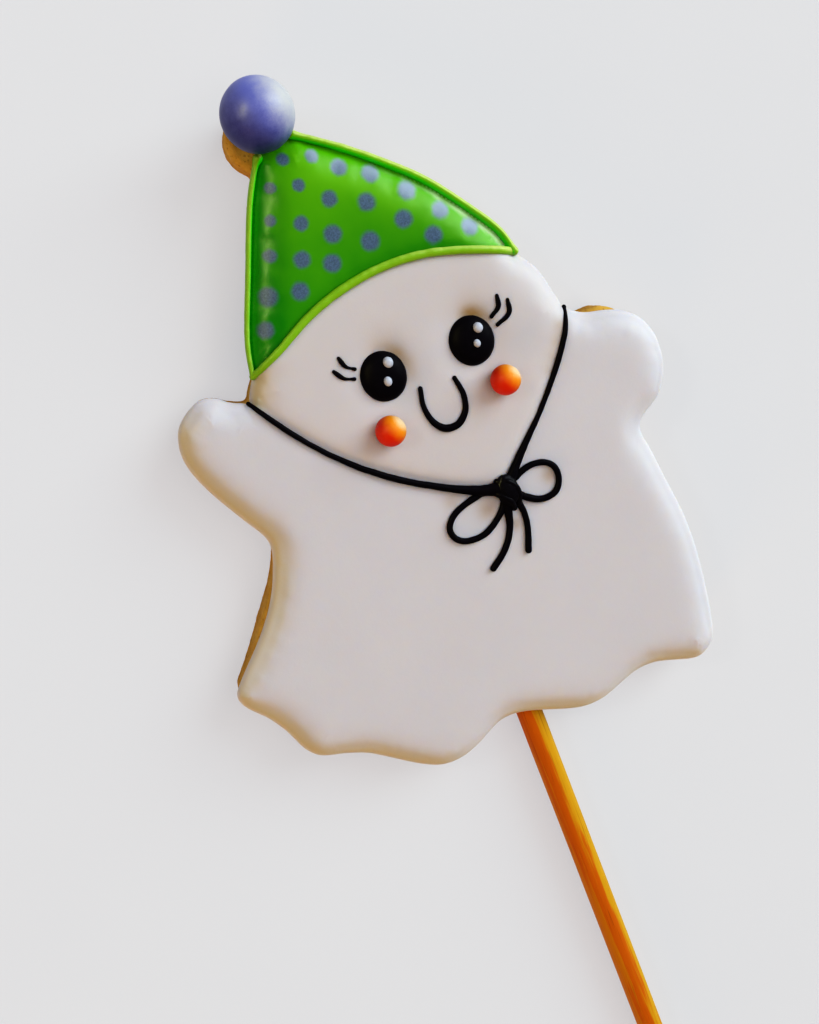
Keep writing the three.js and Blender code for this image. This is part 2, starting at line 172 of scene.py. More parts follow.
def curve_through(knots, spacing):
    """A smooth line through the knots, with its points about that far apart."""
    knots = np.array(knots, float)
    padded = np.vstack([2 * knots[0] - knots[1], knots, 2 * knots[-1] - knots[-2]])
    points = []
    for a, b, c, d in zip(padded, padded[1:], padded[2:], padded[3:]):
        strides = [math.sqrt(np.linalg.norm(q - p)) for p, q in ((a, b), (b, c), (c, d))]
        ta, tb, tc, td = np.cumsum([0.0, *strides])
        t = np.linspace(tb, tc, CURVE_STEPS, endpoint=False)[:, None]
        ab = (tb - t) / (tb - ta) * a + (t - ta) / (tb - ta) * b
        bc = (tc - t) / (tc - tb) * b + (t - tb) / (tc - tb) * c
        cd = (td - t) / (td - tc) * c + (t - tc) / (td - tc) * d
        abc = (tc - t) / (tc - ta) * ab + (t - ta) / (tc - ta) * bc
        bcd = (td - t) / (td - tb) * bc + (t - tb) / (td - tb) * cd
        points.append((tc - t) / (tc - tb) * abc + (t - tb) / (tc - tb) * bcd)
    return spaced(np.vstack([*points, knots[-1:]]), spacing)


SHARP_TURN = math.radians(45)
SHORTEST_SIDE = 0.3


def smooth_loop(points, spacing):
    """A closed outline drawn smoothly through its points, with a corner only where it turns sharply."""
    before = points - np.roll(points, 1, axis=0)
    points = points[np.linalg.norm(before, axis=1) > SHORTEST_SIDE]
    before = points - np.roll(points, 1, axis=0)
    after = np.roll(points, -1, axis=0) - points
    cross = before[:, 0] * after[:, 1] - before[:, 1] * after[:, 0]
    turns = np.arctan2(cross, (before * after).sum(axis=1))
    corners = np.flatnonzero(np.abs(turns) > SHARP_TURN)
    marks = [*(corners - corners[0]), len(points)]
    points = np.roll(points, -corners[0], axis=0)
    points = np.vstack([points, points[:1]])
    return np.vstack([curve_through(points[a : b + 1], spacing)[:-1] for a, b in zip(marks, marks[1:])])


def softened(outline, rounds):
    """A closed outline with its corners worn round."""
    for _ in range(rounds):
        outline = (np.roll(outline, 1, axis=0) + 2 * outline + np.roll(outline, -1, axis=0)) / 4
    return outline


def closed_spaced(outline, spacing):
    return spaced(np.vstack([outline, outline[:1]]), spacing)[:-1]


def leftward(along):
    """The unit normals to the left of the directions."""
    along = along / np.linalg.norm(along, axis=1)[:, None]
    return np.stack([-along[:, 1], along[:, 0]], axis=1)


def inward(outline):
    """The unit normals of a counter-clockwise outline, pointing in."""
    return leftward(np.roll(outline, -1, axis=0) - np.roll(outline, 1, axis=0))


POINTS_AT_ONCE = 800


def distance_to(points, starts, ends):
    """How far each point is from the nearest of the straight pieces between starts and ends."""
    nearest = np.empty(len(points))
    along = ends - starts
    squared = np.maximum((along**2).sum(axis=1), 1e-12)
    for first in range(0, len(points), POINTS_AT_ONCE):
        chunk = points[first : first + POINTS_AT_ONCE, None]
        share = np.clip(((chunk - starts) * along).sum(axis=2) / squared, 0, 1)
        gaps = chunk - starts - share[..., None] * along
        nearest[first : first + POINTS_AT_ONCE] = np.sqrt((gaps**2).sum(axis=2).min(axis=1))
    return nearest


def distance_to_line(points, line):
    return distance_to(points, line[:-1], line[1:])


def distance_to_loop(points, loop):
    return distance_to(points, loop, np.roll(loop, -1, axis=0))


STILL_CLEAR = 0.97  # a moved point nearer to its outline than this share of the move has crossed it


def offset_loop(outline, distance):
    """The outline moved in, or out if negative, without the stretches where it would cross itself."""
    moved = outline + distance * inward(outline)
    return moved[distance_to_loop(moved, outline) > STILL_CLEAR * abs(distance)]


LEVEL_SLACK = 0.01  # how far off its level a flat face's corners may be


def outline_of(node, level):
    """The outline of a node's flat face at that height, counter-clockwise."""
    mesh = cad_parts[node].data
    corners = [tuple(round(c / MM, 3) for c in vertex.co) for vertex in mesh.vertices]
    edges = set()
    for face in mesh.polygons:
        around = [corners[v] for v in face.vertices]
        if all(abs(corner[2] - level) < LEVEL_SLACK for corner in around):
            edges.update(zip(around, around[1:] + around[:1]))
    follower = {start: end for start, end in edges if (end, start) not in edges}
    start = min(follower)
    loop = [start]
    while follower[loop[-1]] != start:
        loop.append(follower[loop[-1]])
    outline = np.array(loop)[:, :2]
    following = np.roll(outline, -1, axis=0)
    area = (outline[:, 0] * following[:, 1] - outline[:, 1] * following[:, 0]).sum() / 2
    return outline if area > 0 else outline[::-1]


# ---------- unevenness


def lumps(points, size, octaves=3, seed=0.0):
    """Smooth random values of about -1 to 1 at the points, with lumps of that size in mm."""
    shift = Vector((seed, 1.7 * seed, -0.6 * seed))
    places = np.zeros((len(points), 3))
    places[:, : points.shape[1]] = points / size
    return np.array([noise.fractal(Vector(p) + shift, 0.8, 2.1, octaves) for p in places])


PORE_SHARE = 0.45  # how far a pore reaches from its middle, as a share of its spacing


def pits(points, size, seed=0.0):
    """0 over most of the surface and up to 1 in the middle of scattered pores of that size in mm."""
    shift = Vector((seed, -seed, 0.5 * seed))
    places = points / size
    nearness = np.array([noise.voronoi(Vector(p) + shift)[0][0] for p in places])
    return np.clip(1 - nearness / PORE_SHARE, 0, 1) ** 1.5


def fade(values, low, high):
    """0 at low and 1 at high, easing in and out between them."""
    t = np.clip((values - low) / (high - low), 0, 1)
    return t * t * (3 - 2 * t)


# ---------- meshes


def add_piece(name, points, faces, finish, replaces, marks=None):
    """A smooth closed mesh that rides on the pop, stands for its nodes and takes its finish from a slot."""
    mesh = bpy.data.meshes.new(name)
    mesh.from_pydata((np.asarray(points) * MM).tolist(), [], [tuple(int(v) for v in face) for face in faces])
    for mark, values in (marks or {}).items():
        mesh.attributes.new(mark, "FLOAT", "POINT").data.foreach_set("value", np.asarray(values, np.float32))
    work = bmesh.new()
    work.from_mesh(mesh)
    bmesh.ops.recalc_face_normals(work, faces=work.faces)
    work.to_mesh(mesh)
    work.free()
    mesh.shade_smooth()
    mesh.materials.append(finish)
    piece = bpy.data.objects.new(name, mesh)
    bpy.context.scene.collection.objects.link(piece)
    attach(piece, "root")
    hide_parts(*replaces)


def filled(rim, inner):
    """Points and triangles that fill a rim, with the inner points among them. The rim's points come first."""
    places = [Vector(p) for p in np.vstack([rim, inner])]
    rim_edges = [(i, (i + 1) % len(rim)) for i in range(len(rim))]
    points, _, faces, sources, _, _ = geometry.delaunay_2d_cdt(places, rim_edges, [], 1, 1e-5)
    order = [source[0] if source else -1 for source in sources]
    return np.array([tuple(p) for p in points]), np.array(faces), np.array(order)


def belts(rows, sides):
    """The faces between rings of points that lie one after another, with that many points in each."""
    return [
        (r * sides + i, r * sides + (i + 1) % sides, (r + 1) * sides + (i + 1) % sides, (r + 1) * sides + i)
        for r in range(rows - 1)
        for i in range(sides)
    ]


def end_caps(rows, sides):
    """The two flat faces that close the first and the last of the rings."""
    return [tuple(range(sides))[::-1], tuple((rows - 1) * sides + i for i in range(sides))]


def hexagonal(low, high, spacing):
    """A grid of points over a box, each with six neighbours at that distance."""
    rows = np.arange(low[1], high[1], spacing * math.sqrt(3) / 2)
    columns = np.arange(low[0], high[0], spacing)
    xs = columns[None, :] + (np.arange(len(rows)) % 2)[:, None] * spacing / 2
    ys = np.broadcast_to(rows[:, None], xs.shape)
    return np.stack([xs.ravel(), ys.ravel()], axis=1)


def inside(points, loop):
    """Whether each point lies inside a closed outline."""
    x, y = points[:, 0, None], points[:, 1, None]
    a, b = loop, np.roll(loop, -1, axis=0)
    spans = (a[:, 1] > y) != (b[:, 1] > y)
    rise = np.where(b[:, 1] == a[:, 1], 1e-12, b[:, 1] - a[:, 1])
    crossing = (b[:, 0] - a[:, 0]) * (y - a[:, 1]) / rise + a[:, 0]
    return (spans & (x < crossing)).sum(axis=1) % 2 == 1


RINGS = [0.04, 0.12, 0.24, 0.4, 0.6, 0.85, 1.15, 1.5, 1.9, 2.4, 3.0, 3.7, 4.5]  # how far in each one lies
CLOSE_RINGS = 0.5  # rings further in than this have half as many points
INNER_SPACING = 0.85


def surface_points(rim):
    """Places for the mesh of a flooded surface: close rings along its rim and an even spread inside."""
    rings = []
    for inset in RINGS:
        ring = offset_loop(rim, inset)
        rings.append(ring[:: 1 if inset < CLOSE_RINGS else 2])
    spread = hexagonal(rim.min(axis=0), rim.max(axis=0), INNER_SPACING)
    spread = spread[inside(spread, rim)]
    spread = spread[distance_to_loop(spread, rim) > RINGS[-1] + INNER_SPACING / 2]
    return np.vstack([*rings, spread])


SHORTEST_EDGE = 0.05


def evened(points, faces, values, free, rounds):
    """Values at the points of a mesh, evened out with their neighbours' where they are free to move."""
    sides = np.vstack([faces[:, [0, 1]], faces[:, [1, 2]], faces[:, [2, 0]]])
    edges = np.unique(np.sort(sides, axis=1), axis=0)
    lengths = np.linalg.norm(points[edges[:, 0]] - points[edges[:, 1]], axis=1)
    pull = 1 / np.maximum(lengths, SHORTEST_EDGE)
    ends, others = np.concatenate([edges, edges[:, ::-1]]).T
    pull = np.concatenate([pull, pull])
    total = np.bincount(ends, pull, len(points))
    for _ in range(rounds):
        mean = np.bincount(ends, pull * values[others], len(points)) / total
        values = values + 0.6 * free * (mean - values)
    return values


def round_edge(distance, width):
    """The height of a rounded edge, from 0 at its foot to 1 where it is level, at that width."""
    drop = (1 - np.clip(distance / width, 0, 1)) ** 2
    return 0.45 * np.sqrt(1 - drop) + 0.55 * (1 - drop)


# Down the icing's lip where it hangs over the cookie's edge: how far in and how much of its drop.
LIP = [(0.02, 0.35), (0.1, 0.7), (0.28, 1.0)]
RIM_SPACING = 0.4
BOX_MARGIN = 0.03  # how far the rim stays inside its node's box
SEAM_TOUCH = 0.45  # a rim this near to a seam joins the next section there and isn't rounded down
WAVE_SIZE, WAVE_HEIGHT = 9.0, 0.035  # how unevenly icing levels out
TAN_REACH, TAN_AT_LIP = 2.6, 0.35  # how far in the edge's painted shade reaches, and how much is left on the lip

icing_surfaces = []


def icing_rim(name):
    """The rim of a section of icing, and which of its points are on its bare edge."""
    outline = smooth_loop(outline_of(name, COOKIE_TOP), RIM_SPACING)
    rim = softened(closed_spaced(outline, RIM_SPACING), 4)
    low, high = node_box(name)
    rim = np.clip(rim, low[:2] + BOX_MARGIN, high[:2] - BOX_MARGIN)
    return rim, np.minimum.reduce([distance_to_line(rim, seam) for seam in SEAMS]) > SEAM_TOUCH


def hanging_lip(rim, order, first):
    """The points of the lip that hangs from the rim, counted from first, and the faces of the lip and of the
    base that closes it. The order says which points of the top are the rim's."""
    m = len(rim)
    overhang = ICING_FOOT - COOKIE_TOP
    rings = [
        np.column_stack([rim + inset * inward(rim), np.full(m, COOKIE_TOP + share * overhang)])
        for inset, share in LIP
    ]
    rim_index = np.array([np.flatnonzero(order == i)[0] for i in range(m)])
    rows = [rim_index, *(np.arange(m) + first + i * m for i in range(len(rings)))]
    walls = [
        (above[i], above[(i + 1) % m], below[(i + 1) % m], below[i])
        for above, below in zip(rows, rows[1:])
        for i in range(m)
    ]
    under, under_faces, under_order = filled(rim, np.empty((0, 2)))
    foot_of = np.empty(len(under), int)
    foot_of[[np.flatnonzero(under_order == i)[0] for i in range(m)]] = rows[-1]
    base = [tuple(foot_of[face[::-1]]) for face in under_faces]
    return np.vstack(rings), walls + base


def flood(name, height, width, shape, finish):
    """Floods a section of icing out to its node's outline, rounded down to its bare edge over that width.
    The shape function says how much each place rises or sinks besides."""
    rim, is_edge = icing_rim(name)
    points, faces, order = filled(rim, surface_points(rim))
    to_edge = distance_to(points, rim[is_edge], np.roll(rim, -1, axis=0)[is_edge])
    z = COOKIE_TOP + height * round_edge(to_edge, width) + shape(points) * fade(to_edge, 0, width)
    z += WAVE_HEIGHT * lumps(points, WAVE_SIZE, 2, seed=len(name)) * fade(to_edge, 0, 3)
    z = evened(points, faces, z, fade(to_edge, 0.4, 1.6), 14)
    top = np.column_stack([points, z])
    icing_surfaces.append(BVHTree.FromPolygons(top.tolist(), faces.tolist()))
    lip, lip_faces = hanging_lip(rim, order, len(top))
    # painted shade: how strongly the edge is tinted tan; the finish keeps it only where the edge faces away
    # from the light
    tan = (TAN_AT_LIP + (1 - TAN_AT_LIP) * fade(to_edge, 0, 1.0)) * np.exp(-((to_edge / TAN_REACH) ** 2))
    marks = {
        "edge": np.concatenate([tan, np.full(len(lip), TAN_AT_LIP)]),
        "patch_shade": np.concatenate([patch_shade_share(points), np.zeros(len(lip))]),
        "cream": np.full(len(top) + len(lip), float(name == "icing_head")),
    }
    faces = faces.tolist() + lip_faces
    add_piece(f"flooded_{name}", np.vstack([top, lip]), faces, finish, [name], marks)


def patch_shade_share(points):
    """How much painted shade each place takes from the patches, from 0 to 1."""
    patches = list(SHADE_PATCHES)
    for side, rim in SHADE_RIMS.items():
        for bearing, strength in rim:
            turn = math.radians(bearing)
            x, y = EYES[side][:2] + (EYE_HALVES[:2] + SHADE_RIM_GAP) * (math.cos(turn), math.sin(turn))
            patches.append((x, y, SHADE_RIM_REACH, strength))
    shares = [
        strength * np.exp(-(((points[:, 0] - x) ** 2 + (points[:, 1] - y) ** 2) / radius**2))
        for x, y, radius, strength in patches
    ]
    return np.clip(sum(shares), 0, 1)


def icing_level(x, y):
    """How high the icing stands at a place, or the cookie where there is none."""
    above, down = Vector((x, y, HAT_TOP + 10)), Vector((0, 0, -1))
    hits = [surface.ray_cast(above, down)[0] for surface in icing_surfaces]
    return max((hit.z for hit in hits if hit), default=COOKIE_TOP)


END_TURNS = 6
THINNEST = 0.004  # the half width where a round end closes


def tube(path, halves, sides, height=1.0):
    """Points and faces of a line with round ends. Halves are its half widths, one for each point of its path,
    and its section is that many times as high as it is wide."""
    path, halves = np.asarray(path, float), np.asarray(halves, float)
    along = np.gradient(path, axis=0)
    along /= np.linalg.norm(along, axis=1)[:, None]
    turns = np.linspace(math.pi / 2, 0, END_TURNS)[:-1]
    reach, share = np.sin(turns)[:, None], np.cos(turns)
    head = path[0] - along[0] * halves[0] * reach
    tail = path[-1] + along[-1] * halves[-1] * reach[::-1]
    path = np.vstack([head, path, tail])
    halves = np.concatenate([halves[0] * share, halves, halves[-1] * share[::-1]])
    halves = np.maximum(halves, THINNEST)
    along = np.pad(along, ((len(turns), len(turns)), (0, 0)), mode="edge")
    side = np.cross(along, (0, 0, 1))
    side /= np.linalg.norm(side, axis=1)[:, None]
    up = np.cross(side, along)
    angles = np.linspace(0, 2 * math.pi, sides, endpoint=False)
    points = (
        path[:, None]
        + halves[:, None, None] * np.cos(angles)[None, :, None] * side[:, None]
        + halves[:, None, None] * height * np.sin(angles)[None, :, None] * up[:, None]
    )
    return points.reshape(-1, 3), belts(len(path), sides) + end_caps(len(path), sides)


LINE_SPACING = 0.22
SWELL_SIZE = 1.6  # how long the swells are where the hand squeezed more or less
LEVELLING = 4  # how many points on either side a line takes its level from


def piped_halves(flat, halves, unevenness, seed):
    """A line's half width at each of its points, with small swells."""
    half = np.interp(np.linspace(0, 1, len(flat)), np.linspace(0, 1, len(halves)), halves)
    return half * (1 + unevenness * lumps(flat, SWELL_SIZE, 2, seed=seed))


def piped_path(knots, halves, lift, seed):
    """The middle of a line piped on the icing and its half widths. Lift is how much of its half width its
    middle stands above the icing."""
    flat = curve_through(knots, LINE_SPACING)
    half = piped_halves(flat, halves, 0.05, seed)
    sides = leftward(np.gradient(flat, axis=0))
    flat = flat + 0.06 * lumps(flat, 3.0, 2, seed=seed + 5)[:, None] * sides
    reach = 0.9 * half[:, None] * sides
    under = [(icing_level(*a) + icing_level(*b)) / 2 for a, b in zip(flat - reach, flat + reach)]
    window = 2 * LEVELLING + 1
    under = np.convolve(np.pad(under, LEVELLING, mode="edge"), np.ones(window) / window, mode="valid")
    return np.column_stack([flat, under + lift * half]), half


# ---------- shader maths


class Value:
    """Something that varies over a surface. Sums and products of values add the nodes that work them out."""

    def __init__(self, finish, socket):
        self.finish = finish
        self.socket = socket

    def maths(self, operation, first, second):
        return self.finish.node("ShaderNodeMath", {"operation": operation}, {0: first, 1: second})

    def __add__(self, other):
        return self.maths("ADD", self, other)

    def __sub__(self, other):
        return self.maths("SUBTRACT", self, other)

    def __rsub__(self, other):
        return self.maths("SUBTRACT", other, self)

    def __mul__(self, other):
        return self.maths("MULTIPLY", self, other)

    __radd__ = __add__
    __rmul__ = __mul__

    def at_least(self, other):
        return self.maths("MAXIMUM", self, other)

    def eased(self, low, high):
        """0 at low and 1 at high, easing in and out between them."""
        sockets = {"Value": self, "From Min": low, "From Max": high}
        return self.finish.node("ShaderNodeMapRange", {"interpolation_type": "SMOOTHSTEP"}, sockets)


def colour(red, green, blue):
    """A colour given as it looks on a screen, from 0 to 255, as the shaders want it."""
    shares = [channel / 255 for channel in (red, green, blue)]
    return (*(((s + 0.055) / 1.055) ** 2.4 if s > 0.04045 else s / 12.92 for s in shares), 1.0)


class Finish:
    """A material in the making: its shader, and the nodes that feed what varies over the surface."""

    def __init__(self, name, fixed):
        self.material = bpy.data.materials.new(name)
        self.material.use_nodes = True
        self.tree = self.material.node_tree
        self.shader = self.tree.nodes["Principled BSDF"]
        for socket, value in fixed.items():
            self.shader.inputs[socket].default_value = value
        self.place = self.vector("SCALE", self.node("ShaderNodeTexCoord", output="Object"), {"Scale": 1 / MM})

    def node(self, kind, settings=None, sockets=None, output=0):
        """A new node's output. Its settings come first, then the values or links of its sockets."""
        node = self.tree.nodes.new(kind)
        for setting, value in (settings or {}).items():
            setattr(node, setting, value)
        for socket, value in (sockets or {}).items():
            if isinstance(value, Value):
                self.tree.links.new(value.socket, node.inputs[socket])
            else:
                node.inputs[socket].default_value = value
        return Value(self, node.outputs[output])

    def vector(self, operation, first, others, output=0):
        return self.node("ShaderNodeVectorMath", {"operation": operation}, {0: first, **others}, output)

    def noise(self, size, detail=3.0, stretch=(1, 1, 1), rough=0.5):
        """Noise of 0 to 1 with features of that size in mm, longer where the stretch is less than 1."""
        place = self.vector("MULTIPLY", self.place, {1: stretch})
        looks = {"Vector": place, "Scale": 1 / size, "Detail": detail, "Roughness": rough}
        return self.node("ShaderNodeTexNoise", {}, looks)

    def cells(self, size):
        """The distance to the middle of the nearest of many scattered cells of that size in mm."""
        return self.node("ShaderNodeTexVoronoi", {}, {"Vector": self.place, "Scale": 1 / size})

    def mark(self, name):
        """A value that the mesh holds at its points."""
        return self.node("ShaderNodeAttribute", {"attribute_name": name}, output="Fac")

    def mix(self, share, first, second):
        return self.node("ShaderNodeMix", {"data_type": "RGBA"}, {0: share, 6: first, 7: second}, output=2)

    def facing(self, direction):
        """How much the surface faces a direction: 1 straight at it, -1 away from it."""
        normal = self.node("ShaderNodeTexCoord", output="Normal")
        return self.vector("DOT_PRODUCT", normal, {1: direction}, output="Value")

    def along(self, direction):
        """How far the place lies in a direction, in mm."""
        return self.vector("DOT_PRODUCT", self.place, {1: direction}, output="Value")

    def feed(self, socket, value):
        self.tree.links.new(value.socket, self.shader.inputs[socket])

    def relief(self, height, depth):
        """Fine relief, that deep in mm between a height of 0 and of 1."""
        self.feed("Normal", self.node("ShaderNodeBump", {}, {"Height": height, "Distance": depth * MM}))


# ---------- finishes

LIT_SIDE = (0.85, 0.37, 0.37)  # where the light comes from; colour is painted lighter facing it, darker away
BALL_LIT_SIDE = (0.7, 0.57, 0.42)  # the purple ball is painted lighter on this side, facing the light
BALL_SHEEN_SIDE = (0.9, 0.2, 0.38)  # and a pale painted sheen lies on this one
STICK_LIT_SIDE = (1.0, 0.0, 0.0)  # painted paler on the stick's lit right; a red-brown streak wanders that way
UP_THE_POP = (0, 1, 0)
DOWN_THE_STICK = (0, -1, 0)


def baked_cookie():
    """Baked dough: golden, browner where it is toasted, open crumb with darker specks."""
    dough = Finish("baked cookie", {
        "Specular IOR Level": 0.25, "Subsurface Weight": 0.08, "Subsurface Scale": 0.001
    })
    toast = dough.mark("toast")
    blotches = dough.noise(2.4, 4)
    crumb = dough.noise(0.45, 5, rough=0.65)
    specks = 1 - dough.cells(0.9).eased(0.08, 0.3)
    brownness = (toast + 0.55 * (blotches - 0.5) + 0.35 * (crumb - 0.5)).eased(0.0, 1.0)
    golden = dough.mix(brownness, colour(224, 190, 100), colour(174, 122, 36))
    dough.feed("Base Color", dough.mix(0.45 * specks, golden, colour(112, 62, 20)))
    dough.feed("Roughness", 0.78 + 0.2 * crumb)
    dough.relief(crumb + 0.6 * dough.noise(0.16, 2) - 0.5 * specks, 0.16)
    return dough.material


def white_icing():
    """Royal icing set to a soft sheen, creamier on the head, with tan painted shade on edges and patches."""
    icing = Finish("white icing", {
        "Specular IOR Level": 0.35, "Subsurface Weight": 0.8, "Subsurface Scale": 0.0018,
        "Subsurface Radius": (1, 0.75, 0.5)
    })
    cloud = icing.noise(14, 2)
    grain = icing.noise(0.35, 3)
    white = icing.mix(cloud, colour(199, 198, 208), colour(203, 202, 211))
    white = icing.mix(icing.mark("cream"), white, colour(200, 197, 204))
    # painted shade: the rounded edges turn tan only where they face away from the light
    tan = icing.mark("edge") * (1 - icing.facing(LIT_SIDE).eased(-0.2, 0.4))
    rimmed = icing.mix(0.75 * tan, white, colour(190, 172, 108))
    # painted shade: the patches tint the icing a darker tan
    icing.feed("Base Color", icing.mix(icing.mark("patch_shade"), rimmed, colour(160, 126, 68)))
    icing.feed("Roughness", 0.46 + 0.1 * grain)
    icing.relief(grain + 2 * icing.noise(2.2, 2), 0.012)
    return icing.material


def hat_icing():
    """Green icing with rows of sprayed spots, yellower towards its tip. Painted light makes it yellower where
    it faces the light and brighter on its shaded edges, with a pale painted sheen at the lower right.
    """
    icing = Finish("green icing", {
        "Specular IOR Level": 0.3, "Subsurface Weight": 0.3, "Subsurface Scale": 0.0015,
        "Subsurface Radius": (0.5, 1, 0.2)
    })
    speckle = icing.noise(0.3, 3, rough=0.6)
    drift = icing.noise(1.1, 2)
    blur = 0.5 * (drift - 0.5) + 0.2 * (speckle - 0.5)
    flat_place = icing.vector("MULTIPLY", icing.place, {1: (1, 1, 0)})
    spots = None
    for x, y, radius in (spot for row in SPOT_ROWS for spot in row):
        gap = icing.vector("DISTANCE", flat_place, {1: (x, y, 0)}, output="Value")
        spot = 1 - (gap + blur).eased(0.62 * radius, 1.3 * radius)
        spots = spot if spots is None else spots.at_least(spot)
    light_facing = icing.facing(LIT_SIDE)
    tipward = icing.along(UP_THE_POP)
    # painted light: the green turns yellower where the icing faces the light
    yellowness = light_facing + 0.2 * (icing.noise(9, 2) - 0.5) + 0.24 * (tipward.eased(34, 62) - 0.5)
    green = icing.mix(yellowness.eased(0.05, 0.75), colour(4, 130, 0), colour(106, 180, 0))
    # painted light: a brighter green lifts the shade where the hat rounds down at its edges
    green = icing.mix(0.4 * icing.mark("edge"), green, colour(28, 172, 0))
    # painted sheen: pale where the lower right of the hat faces the light
    painted_sheen = 0.95 * (1 - tipward.eased(46, 62)) * light_facing.eased(0.76, 0.92)
    green = icing.mix(painted_sheen, green, colour(200, 220, 186))
    purple = icing.mix(speckle.eased(0.3, 0.75), colour(77, 92, 128), colour(96, 115, 157))
    # painted highlight: the spots turn paler where they face the light
    purple = icing.mix(light_facing.eased(0.45, 0.8), purple, colour(154, 165, 197))
    icing.feed("Base Color", icing.mix(0.92 * spots, green, purple))
    icing.feed("Roughness", 0.32 + 0.06 * spots + 0.06 * speckle)
    icing.relief(speckle * (0.3 + 0.5 * spots) + 2 * icing.noise(2.5, 2), 0.01)
    return icing.material


def lime_icing():
    """The lighter green of the piped lines, with painted light: a cream painted highlight on the side facing
    the light, and a brighter, deeper green on its shaded side against the hat.
    """
    icing = Finish("lime icing", {
        "Specular IOR Level": 0.4, "Subsurface Weight": 0.3, "Subsurface Scale": 0.001,
        "Subsurface Radius": (0.5, 1, 0.2)
    })
    shade = icing.noise(1.8, 3)
    lime = icing.mix(shade, colour(125, 176, 28), colour(138, 186, 41))
    # painted light: the side against the hat lies in shade and is painted a brighter, deeper green
    lime = icing.mix(icing.mark("hatward"), lime, colour(50, 222, 0))
    # painted highlight: cream on the side that faces the light
    pale = (icing.facing(LIT_SIDE) + 0.3 * (shade - 0.5)).eased(0.35, 0.9) * (1 - icing.mark("hatward"))
    icing.feed("Base Color", icing.mix(pale, lime, colour(180, 202, 108)))
    icing.feed("Roughness", 0.36 + 0.16 * icing.noise(0.6, 2))
    icing.relief(icing.noise(0.5, 3), 0.02)
    return icing.material


def black_icing():
    """Black icing that dries to a low sheen."""
    icing = Finish("black icing", {"Specular IOR Level": 0.06, "Coat Roughness": 0.16})
    shade = icing.noise(1.1, 3)
    icing.feed("Base Color", icing.mix(shade, colour(10, 8, 15), colour(20, 16, 25)))
    icing.feed("Roughness", 0.4 + 0.2 * icing.noise(0.7, 2))
    icing.feed("Coat Weight", 0.12 * icing.mark("wet"))
    icing.relief(icing.noise(0.45, 3), 0.014)
    return icing.material


def white_dots():
    """The white drops on the eyes."""
    icing = Finish("white dots", {"Specular IOR Level": 0.4})
    shade = icing.noise(0.8, 2)
    icing.feed("Base Color", icing.mix(shade, colour(174, 180, 198), colour(188, 194, 212)))
    icing.feed("Roughness", 0.35 + 0.1 * shade)
    icing.relief(icing.noise(0.3, 2), 0.008)
    return icing.material


def purple_sugar_ball():
    """A polished sugar ball: a mottled coat of purple under a glaze, painted darker away from the light, with a
    pale painted sheen on its lit side.
    """
    ball = Finish("purple sugar ball", {
        "Coat Roughness": 0.36, "Coat Weight": 0.15, "Specular IOR Level": 0.4
    })
    mottle = ball.noise(1.5, 4)
    grain = ball.noise(0.25, 3)
    uneven = 0.5 * (mottle - 0.5) + 0.3 * (grain - 0.5)
    # painted light and shade: the purple is darker on the side away from the light
    painted_light = (ball.facing(BALL_LIT_SIDE) + uneven).eased(-0.8, 0.6)
    purple = ball.mix(painted_light, colour(42, 42, 122), colour(104, 113, 190))
    # painted sheen: pale where the ball faces the light
    ball_sheen = (ball.facing(BALL_SHEEN_SIDE) + 0.5 * uneven).eased(0.25, 1.1)
    ball.feed("Base Color", ball.mix(ball_sheen, purple, colour(192, 193, 196)))
    ball.feed("Roughness", 0.36 + 0.14 * grain)
    ball.relief(grain + 1.5 * ball.noise(1.2, 2), 0.015)
    return ball.material


def orange_sugar_ball():
    """A satin sugar ball with painted light: deep red-orange away from the light, yellow towards it, and a
    cream painted highlight where it faces the light most.
    """
    ball = Finish("orange sugar ball", {"Specular IOR Level": 0.35})
    mottle = ball.noise(1.2, 4)
    grain = ball.noise(0.25, 3)
    # painted light: the colour follows how the ball faces the light
    shade = ball.facing(LIT_SIDE) + 0.2 * (mottle - 0.5) + 0.1 * (grain - 0.5)
    orange = ball.mix(shade.eased(-0.1, 0.95), colour(212, 46, 0), colour(224, 151, 9))
    # painted highlight: cream where it faces the light most
    ball.feed("Base Color", ball.mix(shade.eased(0.66, 1.05), orange, colour(220, 198, 166)))
    ball.feed("Roughness", 0.44 + 0.14 * grain)
    ball.relief(grain + 1.5 * ball.noise(1.2, 2), 0.015)
    return ball.material


def stick_wood():
    """Pale wood stained by the baking, with long streaks of grain that wander round the stick. It is painted
    paler on its lit right side, and its red-brown streak down the left is partly grain and partly painted
    shade.
    """
    wood = Finish("stick wood", {"Specular IOR Level": 0.2})
    streaks = wood.noise(0.75, 4, stretch=(1, 0.035, 1), rough=0.6)
    fibres = wood.noise(0.2, 3, stretch=(1, 0.02, 1))
    cloud = wood.noise(3.2, 2, stretch=(1, 0.12, 1))
    grain = (0.6 * streaks + 0.4 * cloud).eased(0.38, 0.62)
    side = wood.facing(STICK_LIT_SIDE)
    # painted light: the wood is paler on the side that faces the light
    golden = wood.mix(side.eased(-0.9, 0.9), colour(194, 122, 12), colour(196, 152, 26))
    # the red-brown streak keeps to the shaded left near the cookie and wanders to the middle further down:
    # partly grain, partly painted shade
    off_streak = side + 0.45 - 0.45 * wood.along(DOWN_THE_STICK).eased(66, 92) + 0.7 * (grain - 0.5)
    streaked = wood.mix(1 - (off_streak * off_streak).eased(0.03, 0.4), golden, colour(190, 99, 5))
    wood.feed("Base Color", wood.mix(0.5 * fibres.eased(0.58, 0.75), streaked, colour(116, 50, 8)))
    wood.feed("Roughness", 0.5 + 0.2 * fibres)
    wood.relief(fibres + streaks, 0.05)
    return wood.material


